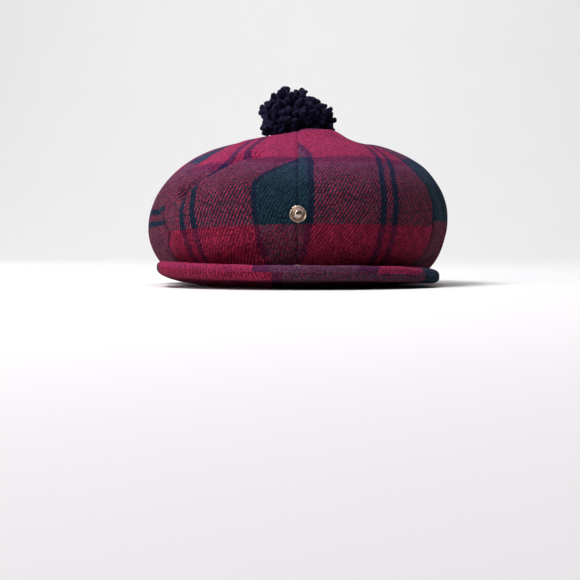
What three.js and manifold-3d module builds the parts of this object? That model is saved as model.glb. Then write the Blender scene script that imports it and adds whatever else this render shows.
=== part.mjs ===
// A tam o'shanter in wool tartan: six cloth panels sewn to a headband, a thick stiffened peak with
// a press stud that holds the crown to it, and a yarn pompom. Millimetres, +Z up. The origin is the middle
// of the footprint on the surface that the cap rests on, and the peak points along -Y.
// Left and right are the wearer's: +X is left. Azimuths count from the peak towards the left.
import * as THREE from "three";
import { mergeVertices } from "three/addons/utils/BufferGeometryUtils.js";
import Module from "manifold-3d";

const wasm = await Module();
wasm.setup();

// Driving dimensions.
const GAP = 0.3; // between the cloth of two pieces along a seam
const BAND_GAP = 0.7; // between the band's faceted oval and what is sewn round it
const CLOTH = 2; // wall of the wool panels
const BAND = { halfWidth: 81, halfLength: 101, wall: 2.5, height: 24, centreY: -1, sides: 64 };
const CROWN = {
  apexHeight: 118, // of the dome under the pompom, before its dip
  dip: { depth: 8, radius: 20 }, // where the pompom sits
  buttonY: 8, // how far behind the origin the panels' tips meet
  tipShare: 0.008, // where the panels' tips end, as a share of the way to the hem
  puff: { rise: 2.2, from: 0.02, full: 0.3, fades: 0.62, gone: 0.95 }, // of a panel's middle
  flatHem: { from: 0.86, whole: 0.99 }, // where the folds die out, as shares of the way to the hem
  hemHeight: 1,
  hemLeavesPeak: 74.5, // azimuths between which the hem comes down beside the peak
  hemIsDown: 87,
  hemOverPeak: 13,
  rowsAcross: 9,
  rowsAbove: 13, // down to the waist
  rowsBelow: 7, // from the waist to the hem
};
const PEAK = {
  reach: 49, // depth from band to front edge
  spread: 77, // azimuth of its ends, as an angle on the band's oval
  endAt: 0.995, // share of the way to the ends that the sewn cloth runs to
  endPower: 4.6, // how squarely it ends
  thickness: 11.2,
  thinEnd: 0.4, // share of the thickness that is left at the ends
  fullWidth: 14.4, // depth from which it is fully thick
  edgeRadius: 6,
  edgeShare: 0.8, // the most of the depth that the edge's round takes up
  seamLip: 80, // degrees of its edge's quarter round that each half has
  rootHeight: 6.2, // of its middle surface at the band
  edgeHeight: 12.6, // of its middle surface at the front edge
  arch: 0.3, // how much steeper the slope is at the band than on average
  sideDrop: 0.6, // how much lower the front edge is at the ends
  warp: 9, // how far its right end is bent up and its left end down
  rings: 26,
  flatSteps: 3,
  arcSteps: 4,
};
const RIVET = { hole: 2, sides: 20 }; // of the press stud and of its socket
const SOCKET = { fromEdge: 28, depth: 3.6 };
const POMPOM = {
  radius: 30,
  halfHeight: 24,
  height: 132,
  lumps: { height: 1.4, turns: [5.1, 3.9, 4.7], shift: 1 }, // waves over the unit ball
  flatPower: 6, // how far down from its top and bottom the lumps fade
  clearance: 0.8, // from the crown's cloth
  seatShares: [0.24, 0.18, 0.13, 0.09, 0.06, 0.03], // of the cloth that it sits on
  around: 24,
  down: 15,
};

// The panels round the crown from the front seam, each named from the wearer's side.
const PANELS = [
  "panel_front_left",
  "panel_side_left",
  "panel_back_left",
  "panel_back_right",
  "panel_side_right",
  "panel_front_right",
];

// Turned profiles as radius and height above the cloth that the piece is riveted to.
const STUD_PROFILE = [
  [0, -3.5],
  [5, -3.5],
  [5, -2.7],
  [1.6, -2.7],
  [1.6, 0.35],
  [5.8, 0.35],
  [6.25, 0.8],
  [5.8, 1.4],
  [5, 1.3],
  [4.2, 0.8],
  [3, 0.7],
  [2.1, 0.9],
  [2.1, 1.7],
  [2.75, 2.4],
  [2.5, 3.1],
  [1.4, 3.5],
  [0, 3.6],
];
const SOCKET_PROFILE = [
  [0, -3],
  [1.6, -3],
  [1.6, 0.4],
  [6.2, 0.4],
  [6.2, 0.8],
  [4.8, 1.2],
  [4.6, 2],
  [3.2, 2],
  [3, 0.9],
  [0, 0.9],
];

// The crown's outline, a row for each section round it. reach is the widest point's distance from
// the crown's axis, waist that point's height, and above and below say how square the cloth's
// turn is over and under it, 2 being an ellipse.
const SECTIONS = [
  { azimuth: 0, reach: 121, waist: 54, above: 2.25, below: 2.7 },
  { azimuth: 45, reach: 121, waist: 53, above: 2.2, below: 2.3 },
  { azimuth: 90, reach: 118, waist: 52, above: 2.17, below: 1.85 },
  { azimuth: 135, reach: 130, waist: 46, above: 2.1, below: 2 },
  { azimuth: 180, reach: 142, waist: 41, above: 2.05, below: 2.1 },
  { azimuth: 225, reach: 130, waist: 42, above: 2.05, below: 2 },
  { azimuth: 270, reach: 118, waist: 43, above: 2.14, below: 1.7 },
  { azimuth: 315, reach: 121, waist: 50, above: 2.0, below: 2.3 },
];

// Dents and swells of the cloth, a row for each. They run from one place to another, both given as
// azimuth and share of the way from the crown's tip to its hem, and rise is minus in a dent.
const FOLDS = [
  { name: "front ridge", from: [12, 0.1], to: [31, 0.112], width: 14, rise: 6.6 },
  { name: "ridge end dip", from: [56, 0.12], to: [82, 0.1], width: 11, rise: -5 },
  { name: "top right swell", from: [-48, 0.14], to: [-22, 0.12], width: 17, rise: 2.2 },
  { name: "right shoulder valley", from: [-50, 0.4], to: [-21, 0.26], width: 6.5, rise: -7.4 },
  { name: "right shoulder lip", from: [-42, 0.4], to: [-21, 0.305], width: 5, rise: 2.4 },
  { name: "right shoulder swell", from: [-46, 0.5], to: [-20, 0.37], width: 13, rise: 2.6 },
  { name: "right side fold", from: [-71, 0.46], to: [-57, 0.6], width: 7, rise: -5 },
  { name: "tuck over peak", from: [-30, 0.82], to: [-12, 0.7], width: 6, rise: -2.6 },
  { name: "left top swell", from: [66, 0.2], to: [80, 0.3], width: 14, rise: 1.2 },
  { name: "left side hollow", from: [72, 0.42], to: [80, 0.62], width: 9, rise: -2.2 },
  { name: "back left slouch", from: [128, 0.3], to: [152, 0.46], width: 12, rise: -4.5 },
  { name: "back right slouch", from: [-126, 0.36], to: [-160, 0.3], width: 12, rise: -4 },
  { name: "back tuck", from: [172, 0.6], to: [196, 0.72], width: 9, rise: -3 },
];

const radians = THREE.MathUtils.degToRad;
const smoothstep = THREE.MathUtils.smoothstep;
const outward = (azimuth) => new THREE.Vector3(Math.sin(azimuth), -Math.cos(azimuth), 0);

// A column of SECTIONS at any azimuth, smooth and closed all the way round.
function sectionValue(column, azimuth) {
  const count = SECTIONS.length;
  const turn = (((azimuth / (2 * Math.PI)) % 1) + 1) % 1;
  const place = turn * count;
  const first = Math.floor(place);
  const t = place - first;
  const [a, b, c, d] = [-1, 0, 1, 2].map((k) => SECTIONS[(first + k + count) % count][column]);
  const rising = 2 * b + (c - a) * t + (2 * a - 5 * b + 4 * c - d) * t * t;
  return 0.5 * (rising + (3 * b - a - 3 * c + d) * t * t * t);
}

// The point of the band's outer oval in a direction from its middle, moved out by more.
function bandPoint(azimuth, more = 0) {
  const direction = outward(azimuth);
  const halfWidth = BAND.halfWidth + more;
  const halfLength = BAND.halfLength + more;
  const radius = 1 / Math.hypot(direction.x / halfWidth, direction.y / halfLength);
  return direction.multiplyScalar(radius).add(new THREE.Vector3(0, BAND.centreY, 0));
}

// Where the crown's hem runs: on the peak in front, and close to the surface elsewhere.
function hemPoint(azimuth) {
  const turn = Math.abs(Math.atan2(Math.sin(azimuth), Math.cos(azimuth)));
  const beside = smoothstep(turn, radians(CROWN.hemLeavesPeak), radians(CROWN.hemIsDown));
  const point = bandPoint(azimuth, BAND_GAP);
  point.z = THREE.MathUtils.lerp(CROWN.hemOverPeak, CROWN.hemHeight, beside);
  return point;
}

// The crown's outer surface before its folds: a dome down to the waist, then round to the hem.
// share runs from 0 at the panels' tips to 0.5 at the waist and 1 at the hem.
function plainCrown(azimuth, share) {
  const angle = share * Math.PI;
  const power = 2 / sectionValue(share <= 0.5 ? "above" : "below", azimuth);
  const out = Math.sin(angle) ** power;
  const rise = Math.abs(Math.cos(angle)) ** power;
  const waist = sectionValue("waist", azimuth);
  const axis = new THREE.Vector3(0, (CROWN.buttonY * (1 + Math.cos(angle))) / 2, 0);
  const widest = outward(azimuth).multiplyScalar(sectionValue("reach", azimuth));
  if (share <= 0.5) {
    const point = widest.multiplyScalar(out).add(axis);
    const fromTip = Math.hypot(point.x, point.y - CROWN.buttonY) / CROWN.dip.radius;
    const dip = CROWN.dip.depth * Math.exp(-(fromTip ** 2));
    return point.setZ(waist + (CROWN.apexHeight - waist) * rise - dip);
  }
  const hem = hemPoint(azimuth);
  return widest.add(axis).lerp(hem, 1 - out).setZ(waist - (waist - hem.z) * rise);
}

// Each fold as a straight stretch in space that the cloth near it follows.
const foldLines = FOLDS.map(({ from, to, width, rise }) => {
  const line = new THREE.Line3(
    plainCrown(radians(from[0]), from[1]),
    plainCrown(radians(to[0]), to[1]),
  );
  return { line, width, rise };
});

function plainNormal(azimuth, share) {
  const step = 1e-3;
  const along = plainCrown(azimuth, Math.min(share + step, 1));
  along.sub(plainCrown(azimuth, Math.max(share - step, 0)));
  const across = plainCrown(azimuth + step, share).sub(plainCrown(azimuth - step, share));
  return across.cross(along).normalize().negate();
}

// The crown's outer surface with its folds and the swell of each panel between its seams.
function crownPoint(azimuth, share, inwards = 0) {
  const point = plainCrown(azimuth, share);
  const normal = plainNormal(azimuth, share);
  const nearest = new THREE.Vector3();
  let rise = 0;
  for (const fold of foldLines) {
    fold.line.closestPointToPoint(point, true, nearest);
    rise += fold.rise * Math.exp(-((nearest.distanceTo(point) / fold.width) ** 2));
  }
  const { puff, flatHem } = CROWN;
  const free = smoothstep(share, puff.from, puff.full) * (1 - smoothstep(share, puff.fades, puff.gone));
  rise += puff.rise * free * Math.sin((PANELS.length / 2) * azimuth) ** 2;
  rise *= 1 - smoothstep(share, flatHem.from, flatHem.whole);
  return point.addScaledVector(normal, rise - inwards);
}

// A solid from a geometry whose faces close it.
function solidOf(geometry) {
  const bare = geometry.clone();
  bare.deleteAttribute("normal");
  bare.deleteAttribute("uv");
  const merged = mergeVertices(bare, 1e-4);
  return new wasm.Manifold(
    new wasm.Mesh({
      numProp: 3,
      vertProperties: merged.getAttribute("position").array,
      triVerts: new Uint32Array(merged.index.array),
    }),
  );
}

function geometryOf(solid) {
  const mesh = solid.getMesh();
  const geometry = new THREE.BufferGeometry();
  geometry.setAttribute("position", new THREE.BufferAttribute(mesh.vertProperties, 3));
  geometry.setIndex(new THREE.BufferAttribute(mesh.triVerts, 1));
  geometry.computeVertexNormals();
  return geometry;
}

// A solid through rings of points. Each ring goes out along one face and back along the other,
// so a point and the one as far from the ring's end lie opposite each other, and the first and
// last rings are closed by strips between them.
function loft(rings) {
  const count = rings[0].length;
  const positions = rings.flat().flatMap((point) => point.toArray());
  const index = [];
  const quad = (a, b, c, d) => index.push(a, b, c, a, c, d);
  for (let i = 0; i + 1 < rings.length; i++) {
    for (let k = 0; k < count; k++) {
      const next = (k + 1) % count;
      quad(i * count + k, i * count + next, (i + 1) * count + next, (i + 1) * count + k);
    }
  }
  const last = (rings.length - 1) * count;
  for (let k = 0; k + 1 < count / 2; k++) {
    const opposite = count - 1 - k;
    quad(k, opposite, opposite - 1, k + 1);
    quad(last + k, last + k + 1, last + opposite - 1, last + opposite);
  }
  const geometry = new THREE.BufferGeometry();
  geometry.setAttribute("position", new THREE.Float32BufferAttribute(positions, 3));
  geometry.setIndex(index);
  const solid = solidOf(geometry);
  if (solid.volume() > 0) return solid;
  geometry.setIndex(index.reverse());
  return solidOf(geometry);
}

// A place to rivet something: a point on a surface and the way out of it.
function frameAt(point, normal) {
  const turn = new THREE.Quaternion().setFromUnitVectors(new THREE.Vector3(0, 1, 0), normal);
  return { point, turn };
}

// A drilled hole through the cloth at such a place, from just above it to a depth below.
function holeAt({ point, turn }, radius, depth) {
  const geometry = new THREE.CylinderGeometry(radius, radius, 2 * depth, RIVET.sides);
  geometry.applyQuaternion(turn).translate(...point.toArray());
  return solidOf(geometry);
}

// One panel, between two seams, as a wall of cloth. Half of the seam's gap is on each side of it.
function panelSolid(number) {
  const width = (2 * Math.PI) / PANELS.length;
  const start = number * width;
  const rows = CROWN.rowsAbove + CROWN.rowsBelow;
  const rings = [];
  for (let i = 0; i <= rows; i++) {
    const above = THREE.MathUtils.mapLinear(i, 0, CROWN.rowsAbove, CROWN.tipShare, 0.5);
    const below = THREE.MathUtils.mapLinear(i, CROWN.rowsAbove, rows, 0.5, 1);
    const share = i < CROWN.rowsAbove ? above : below;
    const radius = plainCrown(start, share).distanceTo(plainCrown(start, share).setX(0).setY(0));
    const edge = GAP / 2 / radius;
    const turns = [];
    for (let k = 0; k <= CROWN.rowsAcross; k++) {
      turns.push(start + THREE.MathUtils.lerp(edge, width - edge, k / CROWN.rowsAcross));
    }
    const outer = turns.map((turn) => crownPoint(turn, share));
    const inner = turns.map((turn) => crownPoint(turn, share, CLOTH));
    rings.push([...outer, ...inner.reverse()]);
  }
  return loft(rings);
}

// The folded strip round the head, standing on the surface.
function headbandSolid() {
  const { halfWidth, halfLength, wall, height, centreY, sides } = BAND;
  const outline = new THREE.Shape();
  outline.absellipse(0, centreY, halfWidth, halfLength, 0, 2 * Math.PI, false, 0);
  const hole = new THREE.Path();
  hole.absellipse(0, centreY, halfWidth - wall, halfLength - wall, 0, 2 * Math.PI, true, 0);
  outline.holes.push(hole);
  const settings = { depth: height, bevelEnabled: false, curveSegments: sides / 2 };
  return solidOf(new THREE.ExtrudeGeometry(outline, settings));
}

// How far the peak reaches from the band, along running from -1 at its right end to 1 at its left.
function peakWidth(along) {
  return PEAK.reach * Math.sqrt(1 - Math.abs(along) ** PEAK.endPower);
}

// A point that is rise above the peak's middle surface, out of the band by a distance.
function peakPoint(along, distance, rise) {
  const azimuth = radians(PEAK.spread) * along;
  const [halfWidth, halfLength] = [BAND.halfWidth + BAND_GAP, BAND.halfLength + BAND_GAP];
  const root = new THREE.Vector3(halfWidth * Math.sin(azimuth), -halfLength * Math.cos(azimuth), 0);
  const away = new THREE.Vector3(root.x / halfWidth ** 2, root.y / halfLength ** 2, 0).normalize();
  const out = distance / PEAK.reach;
  const edge = PEAK.edgeHeight - PEAK.sideDrop * along ** 2;
  const slope = out * (1 + PEAK.arch * (1 - out));
  const height = THREE.MathUtils.lerp(PEAK.rootHeight, edge, slope) + rise;
  const bend = PEAK.warp * along * Math.abs(along) * out ** 2;
  return root.addScaledVector(away, distance).add(new THREE.Vector3(0, BAND.centreY, height - bend));
}

// The upper or lower half of the peak, side being 1 or -1: cloth over its half of the stiffener.
// The halves meet in the seam at the edge.
function peakSolid(side) {
  const rings = [];
  for (let i = 0; i <= PEAK.rings; i++) {
    const along = PEAK.endAt * Math.sin(((i / PEAK.rings) * 2 - 1) * (Math.PI / 2));
    const width = peakWidth(along);
    const stout = THREE.MathUtils.lerp(PEAK.thinEnd, 1, Math.min(1, width / PEAK.fullWidth));
    const half = (PEAK.thickness / 2) * stout;
    const radius = Math.min(PEAK.edgeRadius, width * PEAK.edgeShare);
    const section = [];
    for (let k = 0; k < PEAK.flatSteps; k++) {
      section.push([(k / PEAK.flatSteps) * (width - radius), half]);
    }
    for (let k = 0; k <= PEAK.arcSteps; k++) {
      const turn = radians((PEAK.seamLip * k) / PEAK.arcSteps);
      section.push([width - radius * (1 - Math.sin(turn)), half * Math.cos(turn)]);
    }
    const face = section.map(([distance, rise]) => peakPoint(along, distance, side * rise));
    const seam = section.map(([distance]) => peakPoint(along, distance, (side * GAP) / 2));
    rings.push([...face, ...seam.reverse()]);
  }
  return loft(rings);
}

// The top of the dome under the pompom, filled and raised by the clearance that it keeps.
function pompomSeat() {
  const rings = [];
  const around = BAND.sides / 2;
  for (const share of [...POMPOM.seatShares, CROWN.tipShare]) {
    const ring = [];
    for (let k = 0; k < around; k++) {
      ring.push(crownPoint(((k + 0.5) / around) * 2 * Math.PI, share, -POMPOM.clearance));
    }
    rings.push(ring);
  }
  rings.unshift(rings[0].map((point) => point.clone().setZ(CROWN.apexHeight / 2)));
  return loft(rings);
}

// The pompom's outer form: a lumpy ball that is flattened where it sits on the crown.
function pompomSolid() {
  const { lumps, flatPower, around, down } = POMPOM;
  const geometry = new THREE.SphereGeometry(1, around, down);
  const place = geometry.getAttribute("position");
  const point = new THREE.Vector3();
  for (let i = 0; i < place.count; i++) {
    point.fromBufferAttribute(place, i);
    const [x, y, z] = lumps.turns.map((turn, k) => turn * point.getComponent(k));
    const wave = Math.sin(x + lumps.shift) * Math.sin(z) + Math.sin(y);
    const lump = (lumps.height / POMPOM.radius) * wave * (1 - point.y ** flatPower);
    point.multiplyScalar(1 + lump);
    place.setXYZ(
      i,
      point.x * POMPOM.radius,
      CROWN.buttonY + point.z * POMPOM.radius,
      POMPOM.height - point.y * POMPOM.halfHeight,
    );
  }
  return solidOf(geometry).subtract(pompomSeat());
}

function material(color, roughness, metalness) {
  return new THREE.MeshStandardMaterial({ color, roughness, metalness });
}

const studPlace = frameAt(crownPoint(0, 0.5), plainNormal(0, 0.5));
const socketDistance = PEAK.reach - SOCKET.fromEdge;
const socketPoint = (along, more) =>
  peakPoint(along, socketDistance + more, PEAK.thickness / 2);
const socketNormal = socketPoint(0, 1)
  .sub(socketPoint(0, 0))
  .cross(socketPoint(0.01, 0).sub(socketPoint(0, 0)))
  .normalize();
const socketPlace = frameAt(socketPoint(0, 0), socketNormal);

const cap = new THREE.Group();

function addSolid(name, solid, look) {
  const mesh = new THREE.Mesh(geometryOf(solid), look);
  mesh.name = name;
  cap.add(mesh);
}

function addTurned(name, profile, place, look) {
  const points = profile.map(([radius, height]) => new THREE.Vector2(radius, height));
  const mesh = new THREE.Mesh(new THREE.LatheGeometry(points, RIVET.sides), look);
  mesh.name = name;
  mesh.position.copy(place.point);
  mesh.quaternion.copy(place.turn);
  cap.add(mesh);
}

const wool = material(0x5a2036, 0.95, 0);
const nickel = material(0xc9b9ab, 0.28, 1);
const studHole = holeAt(studPlace, RIVET.hole, 2 * CLOTH);
PANELS.forEach((name, number) => {
  addSolid(name, panelSolid(number).subtract(studHole), wool);
});
addSolid("headband", headbandSolid(), material(0x2a1a24, 0.9, 0));
addSolid("peak_top", peakSolid(1).subtract(holeAt(socketPlace, RIVET.hole, SOCKET.depth)), wool);
addSolid("peak_under", peakSolid(-1), material(0x4a1c2c, 0.95, 0));
addTurned("snap_stud", STUD_PROFILE, studPlace, nickel);
addTurned("snap_socket", SOCKET_PROFILE, socketPlace, nickel);
addSolid("pompom", pompomSolid(), material(0x0d0a22, 0.95, 0));

const bounds = new THREE.Box3().setFromObject(cap);
const middle = bounds.getCenter(new THREE.Vector3());
cap.position.set(-middle.x, -middle.y, -bounds.min.z);

export default cap;
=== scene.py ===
"""Looks of a peaked tam o'shanter cap: wool tartan crown and peak, band, pompom and press stud.

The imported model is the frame. The crown's panels, the peak and the band are modelled again here as
fine cloth over the same named sizes, in millimetres, and the pompom as twisted yarn ends.
"""
import logging
import math
import random
from dataclasses import dataclass, field
from enum import Enum
from typing import Optional, Sequence, Union

import bmesh
import bpy
import numpy as np
from mathutils import Matrix, Vector, noise


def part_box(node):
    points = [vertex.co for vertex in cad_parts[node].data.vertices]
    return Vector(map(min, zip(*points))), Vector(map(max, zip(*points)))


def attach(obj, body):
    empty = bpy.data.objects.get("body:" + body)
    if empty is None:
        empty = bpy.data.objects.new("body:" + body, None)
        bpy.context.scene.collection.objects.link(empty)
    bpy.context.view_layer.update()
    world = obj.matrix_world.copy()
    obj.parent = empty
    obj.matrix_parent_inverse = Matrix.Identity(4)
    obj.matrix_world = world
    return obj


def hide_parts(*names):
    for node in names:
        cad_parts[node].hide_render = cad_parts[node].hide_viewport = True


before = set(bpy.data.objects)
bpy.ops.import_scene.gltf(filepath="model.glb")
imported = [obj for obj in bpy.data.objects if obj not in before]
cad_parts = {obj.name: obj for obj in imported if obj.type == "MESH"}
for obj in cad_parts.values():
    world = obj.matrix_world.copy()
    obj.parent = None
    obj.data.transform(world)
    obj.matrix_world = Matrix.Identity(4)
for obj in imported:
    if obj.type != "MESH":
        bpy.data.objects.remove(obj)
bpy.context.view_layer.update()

LOG = logging.getLogger("cap")
MM = 0.001
BODY = "root"
Number = Union[int, float]
Pair = tuple[float, float]
Triple = tuple[float, float, float]
Colour = Triple
Material = bpy.types.Material
Piece = bpy.types.Object
Mesh = bmesh.types.BMesh
Rows = np.ndarray


def linear(red: int, green: int, blue: int) -> Colour:
    """Turns a dye's screen values, 0 to 255 each, into the shader's linear colour."""
    parts = [value / 255 for value in (red, green, blue)]
    return tuple(p / 12.92 if p <= 0.04045 else ((p + 0.055) / 1.055) ** 2.4 for p in parts)


# ---- shader writing


class Wire:
    """A node's output that can be used in arithmetic. Each operator adds one Math node."""

    def __init__(self, look: "Look", socket: bpy.types.NodeSocket) -> None:
        """Keeps the socket and the material it belongs to."""
        self.look = look
        self.socket = socket

    def math(self, operation: str, *others: "Operand") -> "Wire":
        """Adds a Math node after this socket, with others in its other inputs."""
        inputs = dict(enumerate([self, *others]))
        return self.look.node("ShaderNodeMath", {"operation": operation}, inputs)

    def __add__(self, other: "Operand") -> "Wire":
        """self + other, and other + self."""
        return self.math("ADD", other)

    def __sub__(self, other: "Operand") -> "Wire":
        """self - other."""
        return self.math("SUBTRACT", other)

    def __rsub__(self, other: Number) -> "Wire":
        """other - self."""
        return (self * -1) + other

    def __mul__(self, other: "Operand") -> "Wire":
        """self * other, and other * self."""
        return self.math("MULTIPLY", other)

    def __truediv__(self, other: "Operand") -> "Wire":
        """self / other."""
        return self.math("DIVIDE", other)

    __radd__ = __add__
    __rmul__ = __mul__

    def wave(self) -> "Wire":
        """A cosine of this value in turns, brought to 0 to 1."""
        return (self * math.tau).math("COSINE") * 0.5 + 0.5

    def between(self, low: Number, high: Number) -> "Wire":
        """Where this value lies from low to high, eased and held to 0 to 1."""
        settings = {"interpolation_type": "SMOOTHSTEP"}
        return self.look.node("ShaderNodeMapRange", settings, {0: self, 1: low, 2: high})


Operand = Union[Wire, Number]
Link = Union[Wire, Number, Sequence[float]]


@dataclass(frozen=True)
class Grain:
    """A smooth noise: its features to the unit of its coordinates, its detail and roughness."""

    scale: float
    detail: float = 2.0
    rough: float = 0.5


class Look:
    """One material under construction."""

    def __init__(self, name: str) -> None:
        """Starts an empty material.

        Args:
            name: The material's name.
        """
        self.material = bpy.data.materials.new(name)
        self.material.use_nodes = True
        self.tree = self.material.node_tree
        self.tree.nodes.clear()

    def node(
        self,
        kind: str,
        settings: Optional[dict] = None,
        inputs: Optional[dict] = None,
        output: Union[int, str] = 0,
    ) -> Wire:
        """Adds one node.

        Args:
            kind: The node's type.
            settings: Its settings, set first. "stops" is a colour ramp's rows of (place, colour).
            inputs: What goes in its sockets, by number or name.
            output: Which output to give back.

        Returns:
            The chosen output.
        """
        made = self.tree.nodes.new(kind)
        for key, value in (settings or {}).items():
            if key == "stops":
                self._fill_ramp(made.color_ramp, value)
            else:
                setattr(made, key, value)
        for key, value in (inputs or {}).items():
            self._join(made.inputs[key], value)
        return Wire(self, made.outputs[output] if made.outputs else None)

    def _join(self, socket: bpy.types.NodeSocket, value: Link) -> None:
        """Links a wire to a socket, or sets the socket's own value.

        Args:
            socket: The socket to feed.
            value: The wire, number, colour or vector.
        """
        if isinstance(value, Wire):
            self.tree.links.new(value.socket, socket)
        elif socket.type == "RGBA":
            socket.default_value = (*value, 1.0)
        else:
            socket.default_value = value

    @staticmethod
    def _fill_ramp(ramp: bpy.types.ColorRamp, stops: Sequence[tuple[float, Colour]]) -> None:
        """Gives a ramp its stops, with flat colour between them.

        Args:
            ramp: The ramp to fill.
            stops: Rows of (place from 0 to 1, colour).
        """
        ramp.interpolation = "CONSTANT"
        while len(ramp.elements) < len(stops):
            ramp.elements.new(1.0)
        for element, (place, colour) in zip(ramp.elements, stops):
            element.position = place
            element.color = (*colour, 1.0)

    def mix(self, share: Operand, first: Link, second: Link, blend: str = "MIX") -> Wire:
        """Mixes two colours.

        Args:
            share: How much of the second.
            first: The first colour.
            second: The second colour.
            blend: The Mix node's way of blending.

        Returns:
            The mixed colour.
        """
        settings = {"data_type": "RGBA", "blend_type": blend}
        return self.node("ShaderNodeMix", settings, {0: share, 6: first, 7: second}, 2)

    def coordinates(self, uv_map: str = "") -> Wire:
        """Finds the coordinates of a place on the piece.

        Args:
            uv_map: A UV map's name, or nothing for object coordinates in metres.

        Returns:
            The vector.
        """
        if uv_map:
            return self.node("ShaderNodeUVMap", {"uv_map": uv_map})
        return self.node("ShaderNodeTexCoord", output="Object")

    def split(self, vector: Wire) -> tuple[Wire, Wire, Wire]:
        """Takes a vector apart.

        Args:
            vector: The vector.

        Returns:
            Its three parts.
        """
        made = self.node("ShaderNodeSeparateXYZ", inputs={0: vector})
        outputs = made.socket.node.outputs
        return tuple(Wire(self, outputs[i]) for i in range(3))

    def stretch(self, vector: Wire, scale: Sequence[float]) -> Wire:
        """A vector scaled by scale."""
        return self.node("ShaderNodeMapping", inputs={0: vector, 3: scale})

    def speckle(self, vector: Wire, grain: Grain) -> Wire:
        """Smooth noise from 0 to 1."""
        values = {"Scale": grain.scale, "Detail": grain.detail, "Roughness": grain.rough}
        return self.node("ShaderNodeTexNoise", inputs={"Vector": vector, **values})

    def bump(self, height: Wire, distance: Number, strength: Number) -> Wire:
        """A normal bent by a height of 0 to 1 that stands for distance in metres."""
        values = {"Strength": strength, "Distance": distance, "Height": height}
        return self.node("ShaderNodeBump", inputs=values)

    def finish(self, inputs: dict) -> Material:
        """Puts the Principled shader on.

        Args:
            inputs: What goes in its sockets.

        Returns:
            The finished material.
        """
        surface = self.node("ShaderNodeBsdfPrincipled", inputs=inputs)
        self.node("ShaderNodeOutputMaterial", inputs={"Surface": surface})
        return self.material


# ---- finishes


class Yarn(Enum):
    """The dyed yarns of the tartan, as linear colours."""

    RED = linear(149, 36, 66)
    GREEN = linear(27, 57, 68)
    NAVY = linear(20, 24, 52)


@dataclass(frozen=True)
class Bar:
    """One bar of the tartan: its width in millimetres and its yarn."""

    width: float
    yarn: Yarn


WARP = (
    Bar(46.0, Yarn.GREEN),
    Bar(5.0, Yarn.NAVY),
    Bar(50.0, Yarn.RED),
    Bar(5.0, Yarn.NAVY),
    Bar(6.4, Yarn.RED),
    Bar(5.0, Yarn.NAVY),
    Bar(46.0, Yarn.RED),
    Bar(4.0, Yarn.NAVY),
)
WEFT = (
    Bar(52.0, Yarn.GREEN),
    Bar(8.0, Yarn.NAVY),
    Bar(54.5, Yarn.RED),
    Bar(4.4, Yarn.NAVY),
    Bar(5.4, Yarn.RED),
    Bar(4.4, Yarn.NAVY),
    Bar(46.0, Yarn.RED),
)
PEAK_TOP_WARP = (
    Bar(74.0, Yarn.RED),
    Bar(12.0, Yarn.NAVY),
    Bar(64.0, Yarn.GREEN),
    Bar(15.0, Yarn.NAVY),
    Bar(33.0, Yarn.RED),
    Bar(30.0, Yarn.GREEN),
)
PEAK_UNDER_WARP = (Bar(88.0, Yarn.RED), Bar(7.0, Yarn.NAVY), Bar(140.0, Yarn.GREEN))
PEAK_WEFT = (Bar(92.0, Yarn.RED), Bar(5.0, Yarn.NAVY), Bar(138.0, Yarn.GREEN))
CLOTH_UV = "cloth"


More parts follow.
